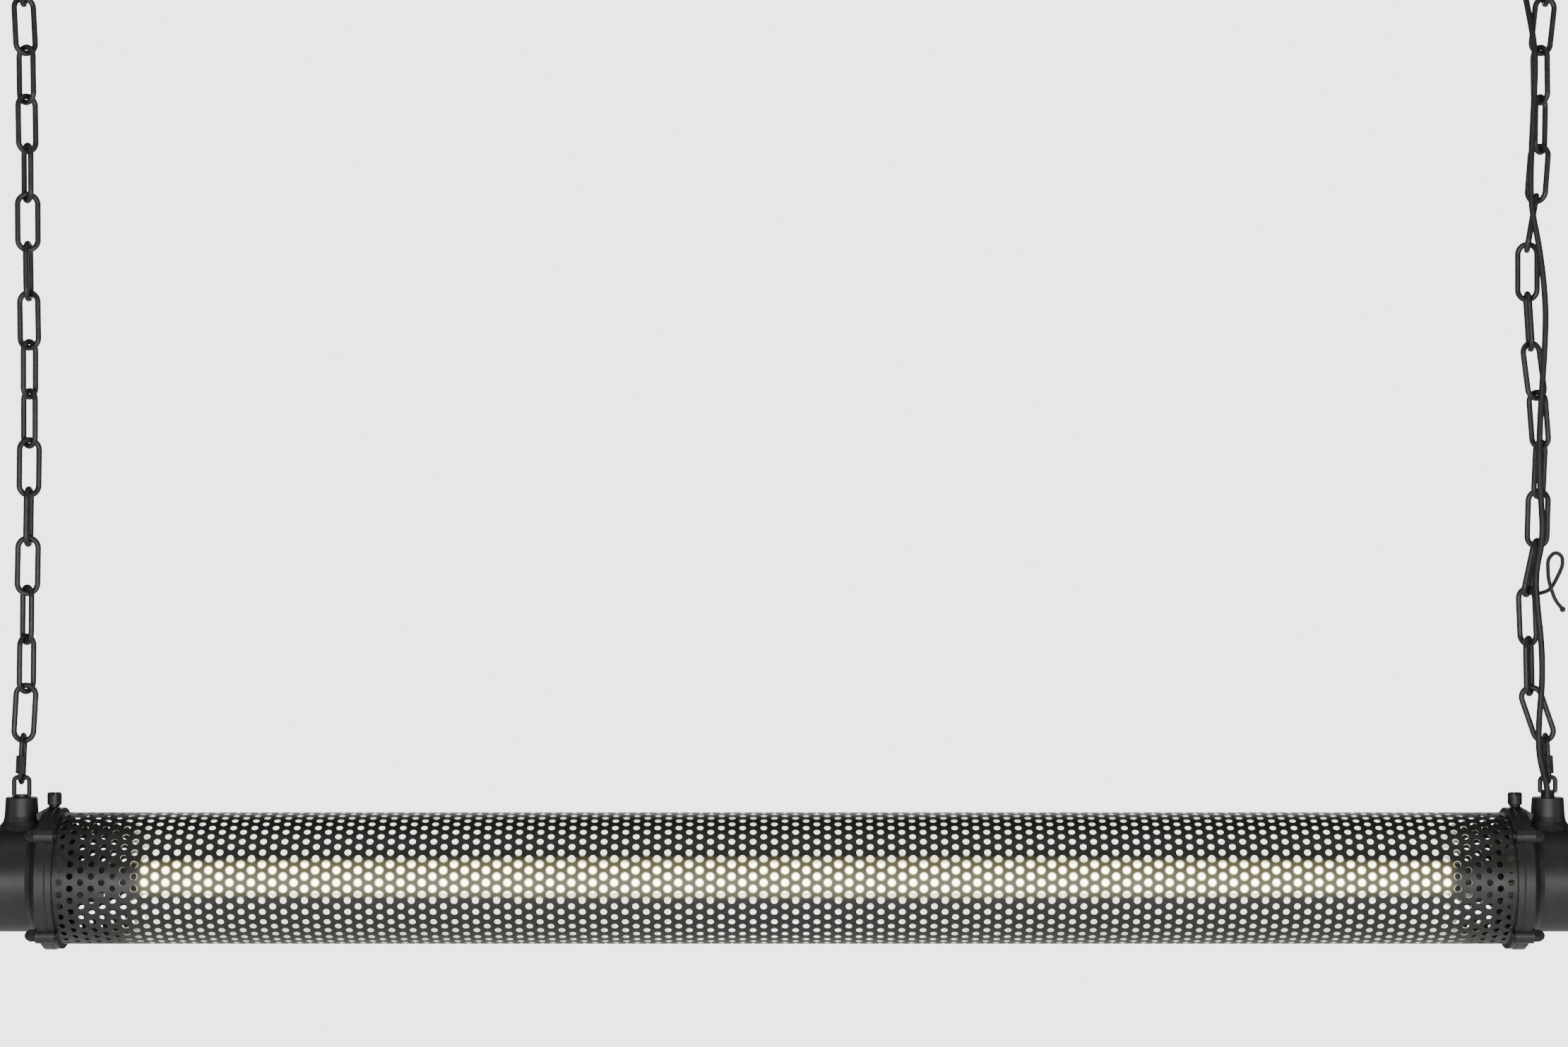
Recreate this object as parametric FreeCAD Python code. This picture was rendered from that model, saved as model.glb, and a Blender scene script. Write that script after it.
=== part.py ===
"""Hanging shop light: a perforated sleeve round a 1200 mm LED tube, hung on two chains.

Millimetres. X runs along the light, +Z is up, and the front of the light faces -Y. The origin is
on the ceiling, half way between the two ceiling plates. Pieces of the light itself are made round
the sleeve's axis and then let down to where the chains hold them.
"""
import FreeCAD, Part
import math
import os

V = FreeCAD.Vector
ORIGIN = V(0, 0, 0)
X_DIR, Y_DIR, Z_DIR = V(1, 0, 0), V(0, 1, 0), V(0, 0, 1)

# The light as a whole
AXIS_DROP = 860.0          # ceiling down to the sleeve's axis
CHAIN_X = 670.0            # chain points, each side of the middle
RUNNING = 0.05             # radial clearance of a part that turns or slides in another

# Perforated sleeve
SLEEVE_R = 57.5
SLEEVE_WALL = 1.0
SLEEVE_HALF = 645.0
SEAT_R = SLEEVE_R + 0.1    # bore of flange and clamp ring round the sleeve

# Flange joint, measured outwards from the middle of the light
JOINT_X = 638.0            # mating face of the end cap
FLANGE_R = 62.5
FLANGE_T = 10.0
GASKET_T = 0.6
RING_R = 61.8
RING_T = 4.8
EAR_CIRCLE = 61.5          # radius on which the ears and studs stand
EAR_R = 6.8
EAR_ANGLES = [41.5 + 90.0 * k for k in range(4)]   # from the front, upwards
STUD_R = 2.5
STUD_HOLE_R = 2.7
STUD_HEAD_R = 3.5
STUD_HEAD_T = 1.5
CAP_NUT_FLATS = 10.0
CAP_NUT_HEX_T = 5.5
CAP_NUT_T = 10.0

# End cap
CAP_R = 46.8
CAP_WALL = 4.0
CAP_BORE_R = CAP_R - CAP_WALL
CONE_END_X = 656.5
CAP_END_X = 735.0
LEDGE_X = 656.0            # inner ledge that carries the lampholder bracket
LEDGE_T = 4.0
LEDGE_R = 36.0
BOSS_R = 13.65
BOSS_TOP = 71.0
COVER_DOME = 14.0          # how far the end cover stands out
COVER_SPIGOT = 8.0

# Thumb screw, M5, through the top of the flange
THUMB_X = 641.2
THUMB_THREAD_R = 2.5
THUMB_HEAD_R = 6.25
THUMB_HEAD_T = 11.2
THUMB_NECK_R = 4.8
THUMB_NECK_T = 1.2
THUMB_SLOT = (2.0, 3.0)    # width, depth

# Hanging eye
EYE_WIRE_R = 2.05
EYE_LEG = 6.65             # leg centre, each side
EYE_TOP = 90.5
EYE_CORNER_R = 3.4
EYE_COLLAR_R = 6.0
EYE_COLLAR_TOP = {"left": 73.5, "right": 77.3}
EYE_STEM_R = 5.0
EYE_STEM_END = 51.0
EYE_AXIS_Z = EYE_TOP - EYE_WIRE_R      # the light rocks about the eyes' top bars

# Chain and quick link
WIRE_R = 2.5
LINK_INNER_L = 43.6
LINK_INNER_W = 12.4
QUICK_R = 2.05
QUICK_INNER_L = 37.6
QUICK_INNER_W = 10.5
QUICK_GAP = (-11.0, -4.5)  # the opening in its front leg, from the link's middle
LINK_NUT = (-12.5, 3.0)
LINK_NUT_FLATS = 7.5
PIVOT_GAP = 0.3            # between links that belong to different moving bodies
LOWER_PIVOT_Z = 123.4      # chain on quick link, above the sleeve's axis
CHAIN_L = 646.3            # lower pivot to upper pivot
UPPER_PIVOT_Z = LOWER_PIVOT_Z + CHAIN_L
HOOK_CONTACT_Z = UPPER_PIVOT_Z + 43.3

# Each chain from the quick link up: sideways offset of every contact from the boss's middle, and
# the turn of every link about the chain, 0 facing the front. Real chain never hangs quite straight.
CHAIN_OFFSETS = {
    "left": [1.5, 4.0, 4.5, 4.9, 5.7, 6.3, 6.8, 6.8, 6.8, 6.1, 5.5, 5.2, 4.9, 4.3, 3.7, 1.5],
    "right": [-1.9, -16.1, -16.9, -18.6, -9.5, -8.2, -6.2, -9.5, -15.0, -17.8, -17.8,
              -10.3, -7.0, -6.2, -6.7, -1.9],
}
LINK_TURNS = {
    "left": [-3, 58, -53, 8, 88, 27, -44, 65, -15, 88, 15, -59, 44, -35, 30],
    "right": [-20, 63, -48, 62, -25, 51, -48, 25, 88, -30, 78, -40, 50, -58, 10],
}

# Power cable, from the ceiling grip down: sideways and forward offset from the right boss's
# middle, and height above the sleeve's axis
CABLE_R = 2.7
GRIP_X = -22.0             # cord grip, left of the right ceiling hook
CABLE_ROUTE = [(-22.0, 0.0, 810.35), (-22.0, 0.0, 786.0), (-18.0, -9.0, 756.0),
               (-13.5, -15.5, 722.0), (-15.5, -16.5, 678.0), (-18.0, -17.0, 632.0),
               (-18.6, -17.0, 590.0), (-10.5, -17.5, 552.0), (-5.0, -17.0, 504.0),
               (-5.6, -16.0, 466.0), (-9.2, -16.5, 418.0), (-11.2, -17.0, 374.0),
               (-9.4, -17.0, 332.0), (-7.4, -17.0, 298.0), (-14.5, -17.5, 268.0),
               (-12.5, -17.0, 238.0), (-8.6, -16.5, 206.0), (-8.0, -16.5, 172.0),
               (-10.8, -15.8, 142.0), (-11.2, -15.2, 115.0), (-8.2, -14.2, 98.0),
               (-2.2, -9.4, 81.5), (-2.2, -9.4, 73.0)]
CABLE_CUTS = [(9, 0.5), (19, 0.52)]    # run to cut in, and how far along it
BUSH_X, BUSH_Y = -2.2, -9.4
BUSH_R = 3.3
BUSH_TOP = 73.0
BUSH_END = 60.0
CLAMP_Z = 4.0              # the cable ends in the cord clamp inside the cap
TIE_R = 1.7
TIE_POINTS = [(-15.5, 13.5, 250.5), (-6.0, 16.8, 249.0), (0.5, 5.0, 251.5), (1.5, -12.0, 256.0),
              (3.8, -21.5, 264.0), (8.4, -22.5, 274.5), (8.0, -22.5, 283.0), (1.5, -22.5, 286.5),
              (-4.6, -22.5, 280.0), (-4.4, -23.0, 262.0), (1.4, -24.0, 244.5), (8.0, -24.0, 236.5)]
TIE_END_R = 2.6

# Ceiling fittings
PLATE_R = 32.0
PLATE_T = 2.5
PLATE_HOLE_R = 2.5
PLATE_HOLE_Y = 22.0
CANOPY_R = 45.0
CANOPY_H = 22.0
CANOPY_WALL = 1.2
CANOPY_RIM = 0.3           # gap left to the ceiling
HOOK_R = 2.5
HOOK_EYE_R = 9.5
HOOK_NUT_R = 8.0
HOOK_NUT_T = 5.0
GRIP_HOLE_R = 4.4
GRIP_TOP_R = 7.0
GRIP_END_R = 4.0
GRIP_END_Z = HOOK_CONTACT_Z - HOOK_R - PIVOT_GAP / 2 - AXIS_DROP

# LED tube and lampholders
TUBE_R = 12.85
TUBE_WALL = 0.9
TUBE_CAP_R = 13.2
TUBE_FACE = 599.5
TUBE_END_WALL = 2.5
LIT_END = {"left": 565.0, "right": 584.4}      # the left cap is long and holds the driver
GLASS_END = {"left": 575.0, "right": 593.0}
PIN_R = 1.17
PIN_L = 7.2
PIN_PITCH = 12.7
BOARD = (10.0, 1.6)
BOARD_Z = 7.5
CHIP = (3.0, 3.0, 0.6)
CHIP_PITCH = 20.0
HOLDER_X = 600.0
HOLDER_T = 22.0
HOLDER_R = 15.5
HOLDER_FOOT_Z = -18.0
ROTOR_R = 9.5
ROTOR_T = 3.6
CHAMBER_R = 8.6
BRACKET_T = 2.0
SHELF_Z = -20.0

# Terminal blocks and the wiring in the right cap
BLOCK_EDGE = 4.0
POLE_PITCH = 6.0
BLOCK_WIDTH = 15.0
WIRE_CORE_R = 0.7
CLAMP_SIZE = (12.0, 8.0, 10.0)

nodes = {}


def cyl(r, start, end):
    """A round bar from one point to another."""
    axis = end - start
    return Part.makeCylinder(r, axis.Length, start, axis)


def ring(r_out, r_in, x0, x1):
    """A ring round the sleeve's axis, from x0 to x1."""
    outer = cyl(r_out, V(x0, 0, 0), V(x1, 0, 0))
    return outer.cut(cyl(r_in, V(x0, 0, 0), V(x1, 0, 0)))


def block(x, y, z):
    """A block from three (low, high) pairs."""
    return Part.makeBox(x[1] - x[0], y[1] - y[0], z[1] - z[0], V(x[0], y[0], z[0]))


def turned(points, axis):
    """A solid of revolution from a closed outline that lies in a plane through the axis."""
    outline = Part.makePolygon(points + [points[0]])
    return Part.Face(outline).revolve(ORIGIN, axis, 360)


def hex_bar(flats, start, end):
    """A hexagonal bar, with its flats' distance, from one point to another."""
    axis = end - start
    side = V(0, 0, 1) if abs(axis.z) < 0.5 * axis.Length else V(1, 0, 0)
    across = axis.cross(side).normalize()
    corner_r = flats / math.sqrt(3)
    corners = []
    for k in range(6):
        turn = FreeCAD.Rotation(axis, 60.0 * k)
        corners.append(start + turn.multVec(across * corner_r))
    return Part.Face(Part.makePolygon(corners + [corners[0]])).extrude(axis)


def half_ring(ring_r, wire_r):
    """Half a torus in the X-Z plane, the upper half, round the origin."""
    bend = Part.makeTorus(ring_r, wire_r, ORIGIN, Z_DIR, 0, 360, 180)
    bend.rotate(ORIGIN, X_DIR, 90)
    return bend


def oval_link(inner_l, inner_w, wire_r):
    """A welded link in the X-Z plane, standing on end round the origin."""
    leg_x = inner_w / 2 + wire_r
    leg_z = (inner_l - inner_w) / 2
    upper = half_ring(leg_x, wire_r)
    lower = upper.copy()
    lower.rotate(ORIGIN, Y_DIR, 180)
    upper.translate(V(0, 0, leg_z))
    lower.translate(V(0, 0, -leg_z))
    legs = [cyl(wire_r, V(s * leg_x, 0, -leg_z), V(s * leg_x, 0, leg_z)) for s in (-1, 1)]
    return legs[0].fuse([legs[1], upper, lower]).removeSplitter()


def tube_along(points, r, label):
    """A round cord along straight runs joined by tangent arcs, each as large as its runs allow."""
    points = [V(*p) for p in points]
    edges = []
    here = points[0]
    smallest = None
    for before, corner, after in zip(points, points[1:], points[2:]):
        d_in, d_out = corner - before, after - corner
        turn = d_in.getAngle(d_out)
        tangent = 0.45 * min(d_in.Length, d_out.Length)
        arc_r = tangent / math.tan(turn / 2)
        smallest = arc_r if smallest is None else min(smallest, arc_r)
        u_in, u_out = V(d_in).normalize(), V(d_out).normalize()
        start, end = corner - u_in * tangent, corner + u_out * tangent
        inward = (u_out - u_in).normalize()
        middle = corner + inward * (arc_r / math.cos(turn / 2) - arc_r)
        edges.append(Part.LineSegment(here, start).toShape())
        edges.append(Part.Arc(start, middle, end).toShape())
        here = end
    edges.append(Part.LineSegment(here, points[-1]).toShape())
    path = Part.Wire(edges)
    section = Part.Wire(Part.makeCircle(r, points[0], points[1] - points[0]))
    tube = path.makePipeShell([section], True, False)
    expected = math.pi * r * r * path.Length
    print(f"{label}: length {path.Length:.1f}, least radius {smallest:.1f}, "
          f"volume {tube.Volume:.0f} of {expected:.0f}")
    return tube


def ear_places():
    """Where the ears stand, as directions from the sleeve's axis times their circle."""
    for angle in EAR_ANGLES:
        a = math.radians(angle)
        yield V(0, -math.cos(a), math.sin(a)) * EAR_CIRCLE


def lower(shape):
    """Lets a piece made round the sleeve's axis down to where the chains hold it."""
    down = shape.copy()
    down.translate(V(0, 0, -AXIS_DROP))
    return down


def both_ends(name, shape):
    """Adds a piece made for the right end, and its mirror image at the left."""
    nodes[f"right_{name}"] = lower(shape)
    nodes[f"left_{name}"] = lower(shape.mirror(ORIGIN, X_DIR))


def group(name, shapes):
    nodes[name] = lower(Part.makeCompound(shapes))


def mirrored(shapes):
    """Right-end shapes followed by their left-end twins."""
    shapes = list(shapes)
    return shapes + [s.mirror(ORIGIN, X_DIR) for s in shapes]


# ---------------------------------------------------------------- sleeve and flange joint

def perforated_sleeve():
    return ring(SLEEVE_R, SLEEVE_R - SLEEVE_WALL, -SLEEVE_HALF, SLEEVE_HALF)


def eared_ring(r_out, x0, x1, hole_r):
    """A ring with four round ears, bored for the sleeve and for the studs."""
    body = cyl(r_out, V(x0, 0, 0), V(x1, 0, 0))
    ears = [cyl(EAR_R, p + V(x0, 0, 0), p + V(x1, 0, 0)) for p in ear_places()]
    body = body.fuse(ears).removeSplitter()
    holes = [cyl(hole_r, p + V(x0, 0, 0), p + V(x1, 0, 0)) for p in ear_places()]
    return body.cut(holes + [cyl(SEAT_R, V(x0, 0, 0), V(x1, 0, 0))])


def clamp_ring():
    start = JOINT_X - GASKET_T - RING_T
    return eared_ring(RING_R, start, start + RING_T, STUD_R)


def gasket():
    return eared_ring(RING_R, JOINT_X - GASKET_T, JOINT_X, STUD_HOLE_R)


def flange_stud(place):
    face = JOINT_X - GASKET_T - RING_T
    head = cyl(STUD_HEAD_R, place + V(face - STUD_HEAD_T, 0, 0), place + V(face, 0, 0))
    shank = cyl(STUD_R, place + V(face - STUD_HEAD_T, 0, 0),
                place + V(JOINT_X + FLANGE_T + 1 + CAP_NUT_T - 2.5, 0, 0))
    return head.fuse(shank).removeSplitter()


def cap_nut(place):
    """A hexagonal nut whose far side is closed by a dome."""
    seat = JOINT_X + FLANGE_T + 1.0
    start = place + V(seat, 0, 0)
    hex_part = hex_bar(CAP_NUT_FLATS, start, start + V(CAP_NUT_HEX_T, 0, 0))
    dome_r = CAP_NUT_FLATS / 2 - 0.3
    neck_end = CAP_NUT_T - dome_r
    neck = cyl(dome_r, start, start + V(neck_end, 0, 0))
    dome = Part.makeSphere(dome_r, start + V(neck_end, 0, 0))
    dome = dome.cut(block((seat - 9, seat + neck_end), (-99, 99), (-99, 99)))
    bore = cyl(STUD_R, start, start + V(CAP_NUT_T - 2.0, 0, 0))
    return hex_part.fuse([neck, dome]).removeSplitter().cut(bore)


# ---------------------------------------------------------------- end cap and what it carries

def cap_outside():
    """The cap's turned outer form, solid."""
    outside = [(JOINT_X, 0), (JOINT_X, FLANGE_R - 0.6), (JOINT_X + 0.6, FLANGE_R),
               (JOINT_X + FLANGE_T - 1.2, FLANGE_R), (JOINT_X + FLANGE_T, FLANGE_R - 1.4),
               (JOINT_X + 13.0, FLANGE_R - 8.0), (JOINT_X + 16.0, CAP_R + 2.4),
               (CONE_END_X + 1.5, CAP_R), (CAP_END_X, CAP_R), (CAP_END_X, 0)]
    return turned([V(x, 0, r) for x, r in outside], X_DIR)


def cap_inside():
    """The space inside the cap: sleeve seat, cone, and a bore on each side of the ledge."""
    inside = [(JOINT_X, 0), (JOINT_X, SEAT_R), (SLEEVE_HALF + 0.2, SEAT_R),
              (SLEEVE_HALF + 0.2, SEAT_R - 3.0), (LEDGE_X - 2.6, CAP_BORE_R),
              (LEDGE_X, CAP_BORE_R), (LEDGE_X, LEDGE_R), (LEDGE_X + LEDGE_T, LEDGE_R),
              (LEDGE_X + LEDGE_T, CAP_BORE_R), (CAP_END_X, CAP_BORE_R), (CAP_END_X, 0)]
    return turned([V(x, 0, r) for x, r in inside], X_DIR)


def boss():
    """The upright boss, round and slightly tapered, with a flared foot, about its own axis."""
    foot_z = CAP_R - 5.0
    sections = [(0, foot_z), (20.5, foot_z), (18.2, CAP_R), (15.8, CAP_R + 3.4),
                (14.8, CAP_R + 8.0), (BOSS_R + 0.2, BOSS_TOP - 0.8), (BOSS_R - 0.4, BOSS_TOP),
                (0, BOSS_TOP)]
    return turned([V(r, 0, z) for r, z in sections], Z_DIR)


def end_cap(side):
    cap = cap_outside()
    ears = [cyl(EAR_R, p + V(JOINT_X, 0, 0), p + V(JOINT_X + FLANGE_T + 1, 0, 0))
            for p in ear_places()]
    rib = Part.Face(Part.makePolygon([
        V(JOINT_X + 8, -5, FLANGE_R - 0.8), V(JOINT_X + FLANGE_T + 1, -5, FLANGE_R - 1.5),
        V(CONE_END_X + 1, -5, 56.0), V(CONE_END_X + 4, -5, CAP_R - 2), V(JOINT_X + 8, -5, 59.0),
        V(JOINT_X + 8, -5, FLANGE_R - 0.8)])).extrude(V(0, 10, 0))
    upright = boss()
    upright.translate(V(CHAIN_X, 0, 0))
    cap = cap.fuse(ears + [rib, upright]).removeSplitter()

    pockets = [cyl(EAR_R + 0.6, p + V(JOINT_X + FLANGE_T + 1, 0, 0), p + V(JOINT_X + 30, 0, 0))
               for p in ear_places()]
    stud_holes = [cyl(STUD_HOLE_R, p + V(JOINT_X, 0, 0), p + V(JOINT_X + 12, 0, 0))
                  for p in ear_places()]
    thumb_hole = cyl(THUMB_THREAD_R + RUNNING, V(THUMB_X, 0, 50), V(THUMB_X, 0, 64))
    stem_hole = cyl(EYE_STEM_R, V(CHAIN_X, 0, EYE_STEM_END - 1), V(CHAIN_X, 0, BOSS_TOP))
    cuts = pockets + stud_holes + [cap_inside(), thumb_hole, stem_hole]
    cuts += [cyl(2.0, p, p + V(LEDGE_T, 0, 0)) for p in bracket_screw_places()]
    cuts += [cyl(2.0, p, p + n * 12) for p, n in cover_screw_places()]
    if side == "right":
        x = CHAIN_X + BUSH_X
        cuts.append(cyl(BUSH_R, V(x, BUSH_Y, BUSH_END), V(x, BUSH_Y, BOSS_TOP)))
        cuts.append(cyl(CABLE_R + 0.1, V(x, BUSH_Y, 30), V(x, BUSH_Y, BUSH_END)))
        cuts.append(cyl(2.0, EARTH_PLACE, EARTH_PLACE - V(LEDGE_T, 0, 0)))
    cap = cap.cut(cuts)
    return cap if side == "right" else cap.mirror(ORIGIN, X_DIR)


def bracket_screw_places():
    """Two screw places on the ledge's inner face, one each side of the middle."""
    middle = (LEDGE_R + CAP_BORE_R) / 2
    return [V(LEDGE_X, s * middle, 0) for s in (-1, 1)]


EARTH_PLACE = V(LEDGE_X + LEDGE_T, 20.0, 33.2)


def cover_screw_places():
    """Three radial screws that hold the end cover, as starting points and directions."""
    for k in range(3):
        a = math.radians(90 + 120 * k + 60)
        n = V(0, math.cos(a), math.sin(a))
        yield V(CAP_END_X - COVER_SPIGOT / 2, 0, 0) + n * (CAP_BORE_R - 5), n


def end_cover():
    """A domed cover with a spigot inside the cap's open end."""
    rim = CAP_END_X + 4.0
    dome = [V(CAP_END_X, 0, 0), V(CAP_END_X, 0, CAP_R - 0.3), V(CAP_END_X + 0.5, 0, CAP_R),
            V(rim, 0, CAP_R)]
    for k in range(1, 7):
        a = math.radians(15 * k)
        dome.append(V(rim + (COVER_DOME - 4.0) * math.sin(a), 0, CAP_R * math.cos(a)))
    dome[-1] = V(CAP_END_X + COVER_DOME, 0, 0)
    shell = turned(dome, X_DIR)
    hollow = cyl(CAP_BORE_R - 4, V(CAP_END_X - 1, 0, 0), V(CAP_END_X + 3.0, 0, 0))
    spigot = ring(CAP_BORE_R - 0.1, CAP_BORE_R - 4, CAP_END_X - COVER_SPIGOT, CAP_END_X)
    cover = shell.fuse(spigot).removeSplitter().cut(hollow)
    return cover.cut([cyl(1.6, p - n * 3, p + n * 9) for p, n in cover_screw_places()])


def cover_screw(place, n):
    shank = cyl(1.6, place, place + n * 6)
    head = cyl(2.0, place + n * 5.5, place + n * 8.8)
    return shank.fuse(head).removeSplitter()


def lifting_eye(side):
    """A bar bent into a loop, with a round collar and a threaded stem below it."""
    collar_top = EYE_COLLAR_TOP[side]
    bar_z = EYE_AXIS_Z
    corner_z, corner_x = bar_z - EYE_CORNER_R, EYE_LEG - EYE_CORNER_R
    leg_foot = collar_top - 1.0
    diagonal = EYE_CORNER_R * math.sqrt(0.5)
    edges = [
        Part.LineSegment(V(-EYE_LEG, 0, leg_foot), V(-EYE_LEG, 0, corner_z)),
        Part.Arc(V(-EYE_LEG, 0, corner_z), V(-corner_x - diagonal, 0, corner_z + diagonal),
                 V(-corner_x, 0, bar_z)),
        Part.LineSegment(V(-corner_x, 0, bar_z), V(corner_x, 0, bar_z)),
        Part.Arc(V(corner_x, 0, bar_z), V(corner_x + diagonal, 0, corner_z + diagonal),
                 V(EYE_LEG, 0, corner_z)),
        Part.LineSegment(V(EYE_LEG, 0, corner_z), V(EYE_LEG, 0, leg_foot)),
    ]
    path = Part.Wire([e.toShape() for e in edges])
    section = Part.Wire(Part.makeCircle(EYE_WIRE_R, V(-EYE_LEG, 0, leg_foot), Z_DIR))
    loop = path.makePipeShell([section], True, False)
    foot = block((-EYE_LEG - 1.2, EYE_LEG + 1.2), (-EYE_WIRE_R, EYE_WIRE_R),
                 (leg_foot - 1.4, leg_foot + 0.9))
    collar = cyl(EYE_COLLAR_R, V(0, 0, BOSS_TOP), V(0, 0, collar_top))
    stem = cyl(EYE_STEM_R, V(0, 0, EYE_STEM_END), V(0, 0, BOSS_TOP))
    eye = loop.fuse([foot, collar, stem]).removeSplitter()
    eye.translate(V(CHAIN_X if side == "right" else -CHAIN_X, 0, 0))
    return eye


def thumb_screw():
    """A slotted cylinder head on a neck and an M5 shank whose tip bears on the sleeve."""
    base = FLANGE_R + 0.3
    neck_top = base + THUMB_NECK_T
    top = neck_top + THUMB_HEAD_T
    outline = [(0, SLEEVE_R + 0.1), (THUMB_THREAD_R, SLEEVE_R + 0.1), (THUMB_THREAD_R, base),
               (THUMB_NECK_R, base), (THUMB_NECK_R, neck_top), (THUMB_HEAD_R, neck_top + 0.8),
               (THUMB_HEAD_R, top - 1.0), (THUMB_HEAD_R - 1.0, top), (0, top)]
    screw = turned([V(r, 0, z) for r, z in outline], Z_DIR)
    width, depth = THUMB_SLOT
    slot = block((-width / 2, width / 2), (-9, 9), (top - depth, top + 1))
    screw = screw.cut(slot)
    screw.translate(V(THUMB_X, 0, 0))
    return screw


# ---------------------------------------------------------------- chains

def quick_link():
    """An oval link with an opening in its front leg, in the Y-Z plane round the origin."""
    link = oval_link(QUICK_INNER_L, QUICK_INNER_W, QUICK_R)
    leg_x = QUICK_INNER_W / 2 + QUICK_R
    link = link.cut(block((-leg_x - 4, -leg_x + 4), (-4, 4), QUICK_GAP))
    link.rotate(ORIGIN, Z_DIR, 90)
    return link


def link_nut():
    y = -(QUICK_INNER_W / 2 + QUICK_R)
    low, high = V(0, y, LINK_NUT[0]), V(0, y, LINK_NUT[1])
    return hex_bar(LINK_NUT_FLATS, low, high).cut(cyl(QUICK_R + RUNNING, low, high))


def link_spacing(offsets):
    """The distance between contacts that makes the whole chain CHAIN_L tall."""
    steps = [b - a for a, b in zip(offsets, offsets[1:])]
    spacing = CHAIN_L / len(steps)
    for _ in range(5):
        lean = sum(spacing - math.sqrt(spacing ** 2 - s ** 2) for s in steps)
        spacing = (CHAIN_L + lean) / len(steps)
    return spacing


def hung_link(low, high, turn):
    """A link centred between two contacts, turned about its own length."""
    link = oval_link(LINK_INNER_L, LINK_INNER_W, WIRE_R)
    link.rotate(ORIGIN, Z_DIR, turn)
    along = high - low
    lean = math.degrees(math.atan2(along.x, along.z))
    link.rotate(ORIGIN, Y_DIR, lean)
    link.translate((low + high) * 0.5)
    return link


def chain(side):
    offsets = CHAIN_OFFSETS[side]
    spacing = link_spacing(offsets)
    print(f"{side} chain: contact spacing {spacing:.2f}, inner length {LINK_INNER_L}")
    x0 = CHAIN_X if side == "right" else -CHAIN_X
    low = V(x0 + offsets[0], 0, LOWER_PIVOT_Z)
    links = []
    for step, turn in zip(offsets[1:], LINK_TURNS[side]):
        dx = x0 + step - low.x
        high = V(x0 + step, 0, low.z + math.sqrt(spacing ** 2 - dx ** 2))
        links.append(hung_link(low, high, turn))
        low = high
    group(f"{side}_chain_links", links)
    top = V(x0, 0, HOOK_CONTACT_Z)
    nodes[f"{side}_top_link"] = lower(hung_link(low, top, 90))


def quick_links():
    middle = V(0, 0, (EYE_AXIS_Z - EYE_WIRE_R + LOWER_PIVOT_Z) / 2)
    for side, x0 in (("left", -CHAIN_X), ("right", CHAIN_X)):
        for name, shape in (("quick_link", quick_link()), ("link_nut", link_nut())):
            low_x, high_x = x0, x0 + CHAIN_OFFSETS[side][0]
            lean = math.degrees(math.atan2(high_x - low_x, LOWER_PIVOT_Z - EYE_AXIS_Z))
            shape.rotate(ORIGIN, Y_DIR, lean)
            shape.translate(middle + V((low_x + high_x) / 2, 0, 0))
            nodes[f"{side}_{name}"] = lower(shape)


# ---------------------------------------------------------------- power cable

def beside_boss(points):
    return [(CHAIN_X + x, y, z) for x, y, z in points]


def cable_lengths():
    """The route in three lengths, cut square in the middle of straight runs."""
    lengths = []
    start, rest = 0, []
    for run, share in CABLE_CUTS:
        before, after = V(*CABLE_ROUTE[run]), V(*CABLE_ROUTE[run + 1])
        cut = tuple(before + (after - before) * share)
        lengths.append(rest + CABLE_ROUTE[start:run + 1] + [cut])
        start, rest = run + 1, [cut]
    return lengths + [rest + CABLE_ROUTE[start:]]


def power_cable():
    for part, points in zip(("upper", "lower", "tail"), cable_lengths()):
        name = f"power_cable_{part}"
        nodes[name] = lower(tube_along(beside_boss(points), CABLE_R, name))
    x = CHAIN_X + BUSH_X
    inner = cyl(CABLE_R, V(x, BUSH_Y, CLAMP_Z), V(x, BUSH_Y, BUSH_TOP))
    nodes["power_cable_inner"] = lower(inner)
    bush = cyl(BUSH_R, V(x, BUSH_Y, BUSH_END), V(x, BUSH_Y, BUSH_TOP))
    nodes["cable_bush"] = lower(bush.cut(inner))


def cable_tie():
    """A springy coated tie bent round the chain and the cable, with a loop and a knobbed end."""
    points = beside_boss(TIE_POINTS)
    strand = tube_along(points, TIE_R, "cable_tie")
    knob = Part.makeSphere(TIE_END_R, V(*points[-1]))
    nodes["cable_tie"] = lower(strand.fuse(knob))


# ---------------------------------------------------------------- ceiling fittings

def ceiling_fittings():
    for side, x in (("left", -CHAIN_X), ("right", CHAIN_X)):
        plate = Part.makeCylinder(PLATE_R, PLATE_T, V(x, 0, -PLATE_T))
        holes = [Part.makeCylinder(PLATE_HOLE_R, PLATE_T, V(x, s * PLATE_HOLE_Y, -PLATE_T))
                 for s in (-1, 1)]
        holes.append(Part.makeCylinder(HOOK_R, PLATE_T, V(x, 0, -PLATE_T)))
        nodes[f"{side}_ceiling_plate"] = plate.cut(holes)
        nodes[f"{side}_ceiling_canopy"] = canopy(side, x)
        nodes[f"{side}_ceiling_hook"] = ceiling_hook(x)
    nuts = []
    for x in (-CHAIN_X, CHAIN_X):
        nut = Part.makeCylinder(HOOK_NUT_R, HOOK_NUT_T, V(x, 0, -CANOPY_H - HOOK_NUT_T))
        nut = nut.makeChamfer(0.8, [e for e in nut.Edges if len(e.Vertexes) == 1])
        nuts.append(nut.cut(Part.makeCylinder(HOOK_R, 9, V(x, 0, -CANOPY_H - 7))))
    nodes["hook_ring_nuts"] = Part.makeCompound(nuts)


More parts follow.
